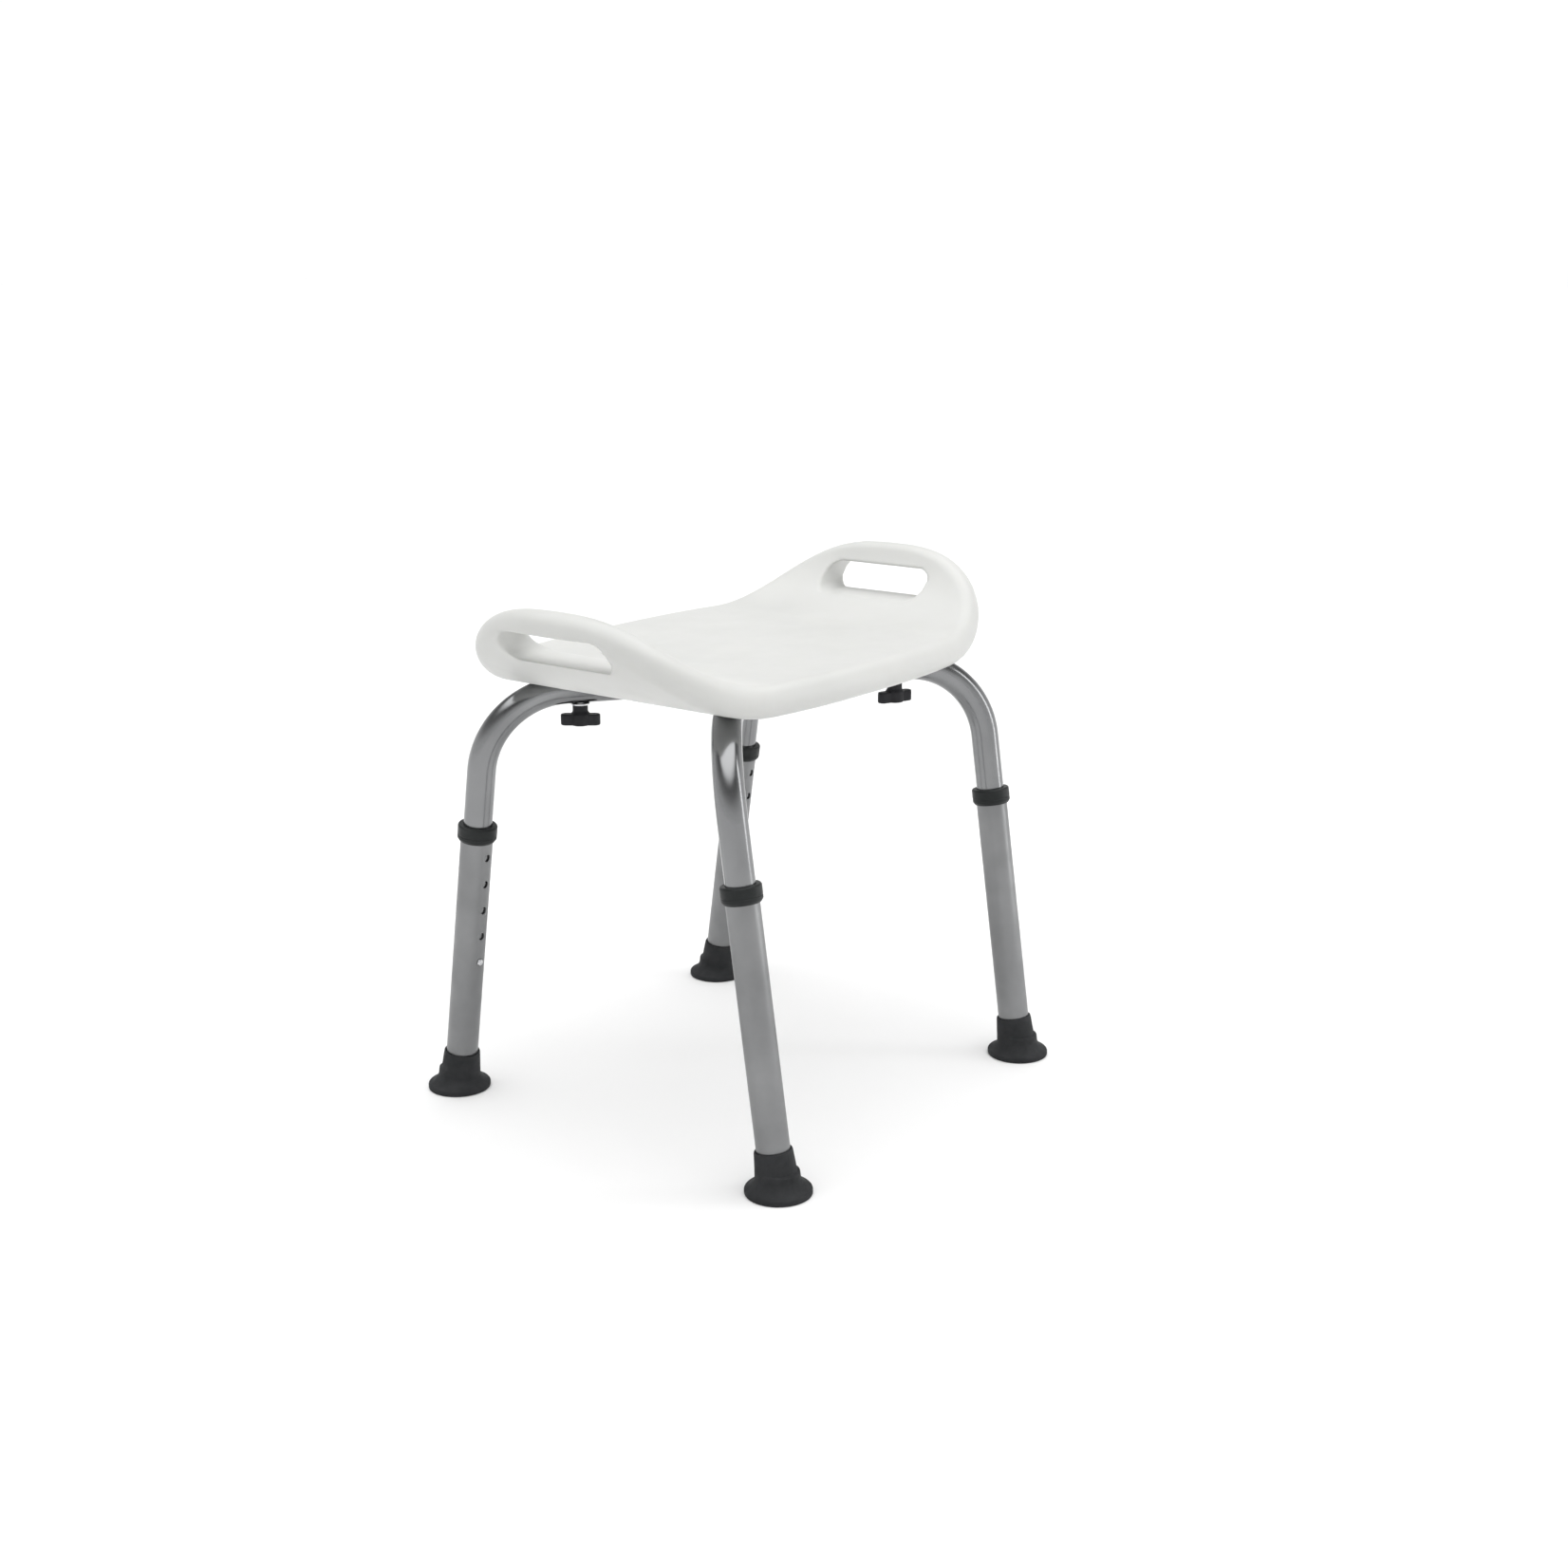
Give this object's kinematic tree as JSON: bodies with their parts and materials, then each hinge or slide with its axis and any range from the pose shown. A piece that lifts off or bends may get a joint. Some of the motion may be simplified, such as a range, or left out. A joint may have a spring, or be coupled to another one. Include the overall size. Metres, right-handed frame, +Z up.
{
  "type": "shower chair",
  "caption": "Backless shower chair: a moulded saddle seat with hand slots on two crossed bent tubes, with telescopic legs, snap buttons, hand knobs and wide rubber feet.",
  "frame": {"origin": "on the floor, midway between the four feet", "axes": "+Z up, X along the seat from hand slot to hand slot, -Y to the front edge"},
  "size_m": [0.5104, 0.429, 0.4724],
  "materials": {
    "seat_plastic": "satin blow-moulded polyethylene",
    "bright_tube": "bright anodised",
    "matt_tube": "matt anodised",
    "collar_plastic": "satin black",
    "knob_plastic": "satin black",
    "foot_rubber": "matt dark grey",
    "plated_steel": "bright zinc plated",
    "brass": "machined"
  },
  "bodies": {
    "frame": {"seat": "seat_plastic", "seat_inserts": "brass", "frame_tube_a": "bright_tube", "frame_tube_b": "bright_tube", "centre_rivet": "plated_steel", "rivet_washer": "plated_steel", "leaf_spring_front_left": "plated_steel", "leaf_spring_front_right": "plated_steel", "leaf_spring_back_left": "plated_steel", "leaf_spring_back_right": "plated_steel"},
    "leg_front_left": {"leg_tube_front_left": "matt_tube", "collar_front_left": "collar_plastic", "foot_front_left": "foot_rubber", "foot_washer_front_left": "plated_steel"},
    "button_front_left": {"snap_button_front_left": "plated_steel"},
    "knob_lift_front_left": {"knob_washer_front_left": "plated_steel"},
    "knob_turn_front_left": {"knob_front_left": "knob_plastic", "knob_stud_front_left": "plated_steel"},
    "leg_front_right": {"leg_tube_front_right": "matt_tube", "collar_front_right": "collar_plastic", "foot_front_right": "foot_rubber", "foot_washer_front_right": "plated_steel"},
    "button_front_right": {"snap_button_front_right": "plated_steel"},
    "knob_lift_front_right": {"knob_washer_front_right": "plated_steel"},
    "knob_turn_front_right": {"knob_front_right": "knob_plastic", "knob_stud_front_right": "plated_steel"},
    "leg_back_left": {"leg_tube_back_left": "matt_tube", "collar_back_left": "collar_plastic", "foot_back_left": "foot_rubber", "foot_washer_back_left": "plated_steel"},
    "button_back_left": {"snap_button_back_left": "plated_steel"},
    "knob_lift_back_left": {"knob_washer_back_left": "plated_steel"},
    "knob_turn_back_left": {"knob_back_left": "knob_plastic", "knob_stud_back_left": "plated_steel"},
    "leg_back_right": {"leg_tube_back_right": "matt_tube", "collar_back_right": "collar_plastic", "foot_back_right": "foot_rubber", "foot_washer_back_right": "plated_steel"},
    "button_back_right": {"snap_button_back_right": "plated_steel"},
    "knob_lift_back_right": {"knob_washer_back_right": "plated_steel"},
    "knob_turn_back_right": {"knob_back_right": "knob_plastic", "knob_stud_back_right": "plated_steel"}
  },
  "joints": [
    {"name": "leg_slide_front_left", "type": "slide", "parent": "frame", "child": "leg_front_left", "axis": [0, -0.1444, -0.9895], "range_m": [0, 0.1016], "deforming": ["snap_button_front_left"]},
    {"name": "button_press_front_left", "type": "slide", "parent": "frame", "child": "button_front_left", "axis": [0, -0.9895, 0.1444], "range_m": [0, 0.0036], "stiffness_N_per_m": 1500, "springref_m": -0.002, "deforming": ["leaf_spring_front_left"]},
    {"name": "knob_turn_front_left", "type": "hinge", "parent": "knob_lift_front_left", "child": "knob_turn_front_left", "pos_m": [-0.12222, -0.08417, 0.35], "axis": [0, 0, -1], "range_deg": [0, 2880]},
    {"name": "knob_lift_front_left", "type": "slide", "parent": "frame", "child": "knob_lift_front_left", "axis": [0, 0, -1], "range_m": [0, 0.01]},
    {"name": "leg_slide_front_right", "type": "slide", "parent": "frame", "child": "leg_front_right", "axis": [0, -0.1444, -0.9895], "range_m": [0, 0.1016], "deforming": ["snap_button_front_right"]},
    {"name": "button_press_front_right", "type": "slide", "parent": "frame", "child": "button_front_right", "axis": [0, -0.9895, 0.1444], "range_m": [0, 0.0036], "stiffness_N_per_m": 1500, "springref_m": -0.002, "deforming": ["leaf_spring_front_right"]},
    {"name": "knob_turn_front_right", "type": "hinge", "parent": "knob_lift_front_right", "child": "knob_turn_front_right", "pos_m": [0.12222, -0.08417, 0.35], "axis": [0, 0, -1], "range_deg": [0, 2880]},
    {"name": "knob_lift_front_right", "type": "slide", "parent": "frame", "child": "knob_lift_front_right", "axis": [0, 0, -1], "range_m": [0, 0.01]},
    {"name": "leg_slide_back_left", "type": "slide", "parent": "frame", "child": "leg_back_left", "axis": [0, 0.1444, -0.9895], "range_m": [0, 0.1016], "deforming": ["snap_button_back_left"]},
    {"name": "button_press_back_left", "type": "slide", "parent": "frame", "child": "button_back_left", "axis": [0, 0.9895, 0.1444], "range_m": [0, 0.0036], "stiffness_N_per_m": 1500, "springref_m": -0.002, "deforming": ["leaf_spring_back_left"]},
    {"name": "knob_turn_back_left", "type": "hinge", "parent": "knob_lift_back_left", "child": "knob_turn_back_left", "pos_m": [-0.12222, 0.08417, 0.35], "axis": [0, 0, -1], "range_deg": [0, 2880]},
    {"name": "knob_lift_back_left", "type": "slide", "parent": "frame", "child": "knob_lift_back_left", "axis": [0, 0, -1], "range_m": [0, 0.01]},
    {"name": "leg_slide_back_right", "type": "slide", "parent": "frame", "child": "leg_back_right", "axis": [0, 0.1444, -0.9895], "range_m": [0, 0.1016], "deforming": ["snap_button_back_right"]},
    {"name": "button_press_back_right", "type": "slide", "parent": "frame", "child": "button_back_right", "axis": [0, 0.9895, 0.1444], "range_m": [0, 0.0036], "stiffness_N_per_m": 1500, "springref_m": -0.002, "deforming": ["leaf_spring_back_right"]},
    {"name": "knob_turn_back_right", "type": "hinge", "parent": "knob_lift_back_right", "child": "knob_turn_back_right", "pos_m": [0.12222, 0.08417, 0.35], "axis": [0, 0, -1], "range_deg": [0, 2880]},
    {"name": "knob_lift_back_right", "type": "slide", "parent": "frame", "child": "knob_lift_back_right", "axis": [0, 0, -1], "range_m": [0, 0.01]}
  ],
  "couplings": [
    {"joint": "knob_turn_front_left", "follows": "knob_lift_front_left", "rad_per_m": 5026.5},
    {"joint": "knob_turn_front_right", "follows": "knob_lift_front_right", "rad_per_m": 5026.5},
    {"joint": "knob_turn_back_left", "follows": "knob_lift_back_left", "rad_per_m": 5026.5},
    {"joint": "knob_turn_back_right", "follows": "knob_lift_back_right", "rad_per_m": 5026.5}
  ]
}
